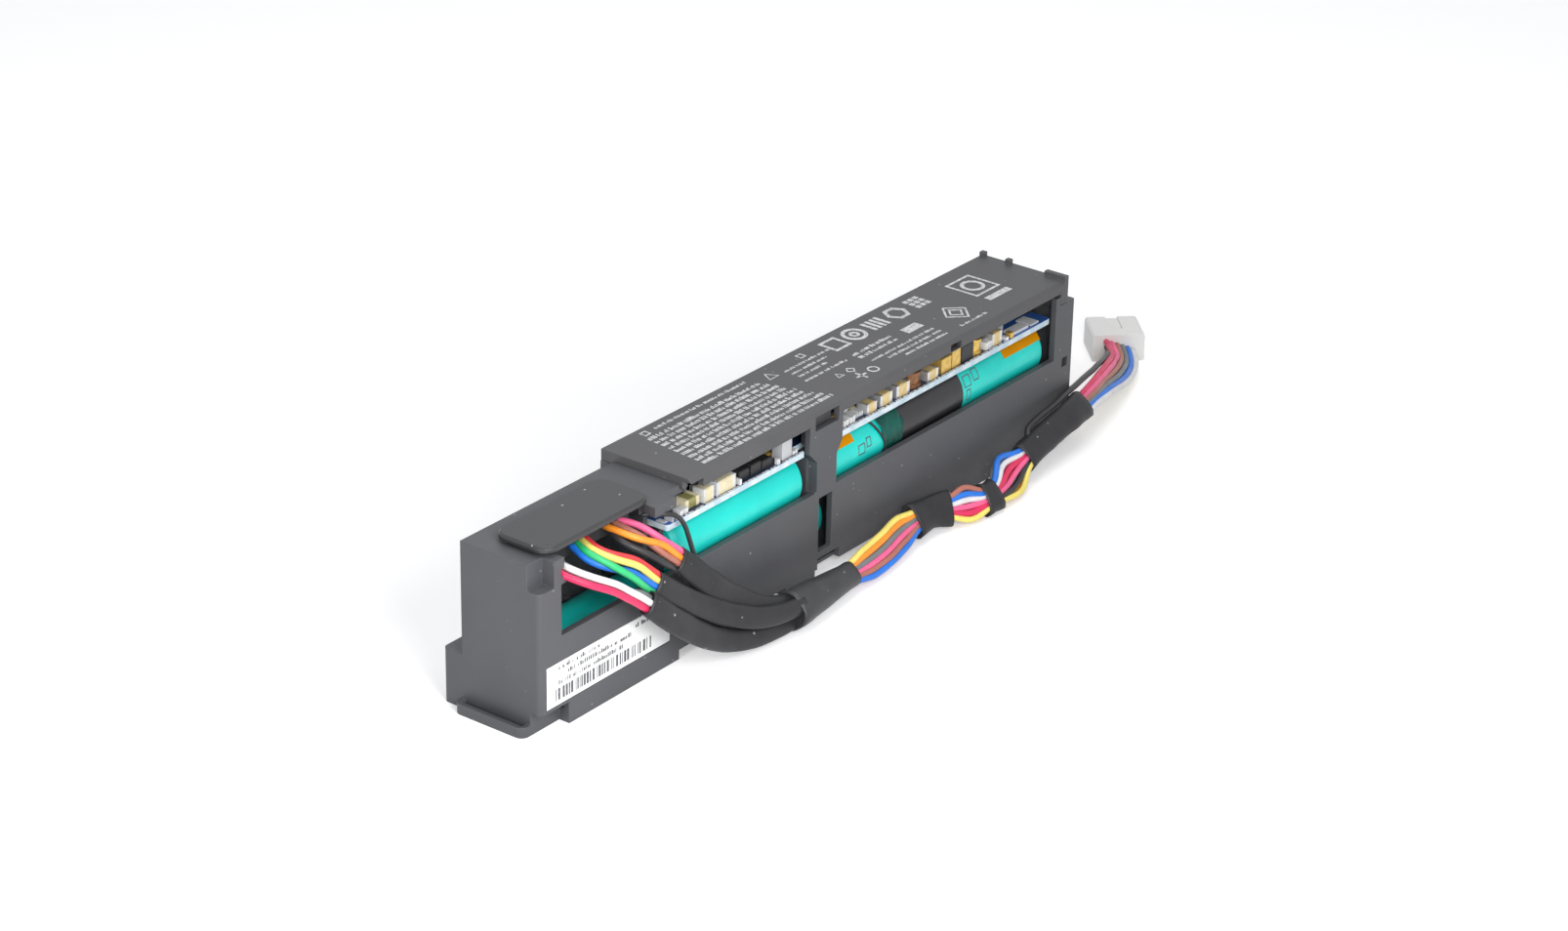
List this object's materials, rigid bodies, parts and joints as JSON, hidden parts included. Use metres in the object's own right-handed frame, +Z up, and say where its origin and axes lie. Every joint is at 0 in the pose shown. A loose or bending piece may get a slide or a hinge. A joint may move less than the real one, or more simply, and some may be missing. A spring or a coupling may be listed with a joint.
{
  "type": "raid battery module",
  "caption": "Long black tray of sealed teal cells under a circuit board and a clipped lid, with a wired harness that ends in a plug, used as backup power for a disk controller.",
  "frame": {"origin": "under the middle of the housing with its hooked lip, on the plane that its feet stand on", "axes": "+X along the housing from the deck end to the plain end, +Y from the front wall with its windows to the rear wall, +Z up"},
  "size_m": [0.2614, 0.0441, 0.0431],
  "materials": {
    "housing_plastic": "fine spark texture, satin",
    "cover_plastic": "fine spark texture, satin",
    "cap_plastic": "smooth satin",
    "cell_sleeve": "glossy shrink sleeve",
    "shrink_band": "semi-gloss shrink film",
    "amber_film": "glossy film",
    "nickel": "plain rolled",
    "board_mask": "solder mask, semi-gloss",
    "fuse_body": "moulded, satin",
    "tantalum_body": "moulded, satin",
    "chip_body": "moulded, fine grain",
    "spacer_plastic": "moulded, satin",
    "ceramic": "fired ceramic, satin",
    "coil_core": "ferrite and wound wire",
    "gold_metal": "plated, satin",
    "surface_body": "ceramic with plated ends",
    "solder": "bright solder",
    "sticker_paper": "coated paper",
    "lead_sleeve": "flattened flexible sleeve",
    "wrap_tape": "wrapped tape",
    "harness_wire": "flexible insulation in many colours",
    "connector_plastic": "moulded, satin",
    "terminal_metal": "tin plated"
  },
  "bodies": {
    "root": {"housing": "housing_plastic", "cell_upper_left": "cell_sleeve", "cell_upper_middle": "cell_sleeve", "cell_upper_right": "cell_sleeve", "cell_lower_left": "cell_sleeve", "cell_lower_middle": "cell_sleeve", "cell_lower_right": "cell_sleeve", "cell_band": "shrink_band", "amber_pad_left": "amber_film", "amber_pad_right": "amber_film", "tab_upper_left": "nickel", "tab_upper_joint": "nickel", "tab_upper_right": "nickel", "tab_lower_left": "nickel", "tab_lower_joint": "nickel", "circuit_board": "board_mask", "board_fuse": "fuse_body", "tantalum_capacitors": "tantalum_body", "control_chips": "chip_body", "board_spacer": "spacer_plastic", "beige_capacitors": "ceramic", "wound_coil": "coil_core", "gold_capacitors": "gold_metal", "gold_coil": "gold_metal", "surface_parts": "surface_body", "solder_pads": "solder", "top_cover": "cover_plastic", "wire_cap": "cap_plastic", "sticker": "sticker_paper", "lead_lower": "lead_sleeve", "lead_middle": "lead_sleeve", "lead_upper": "lead_sleeve", "lead_boot": "wrap_tape", "harness_lead": "harness_wire", "connector_shell": "connector_plastic", "connector_terminals": "terminal_metal"}
  },
  "joints": []
}
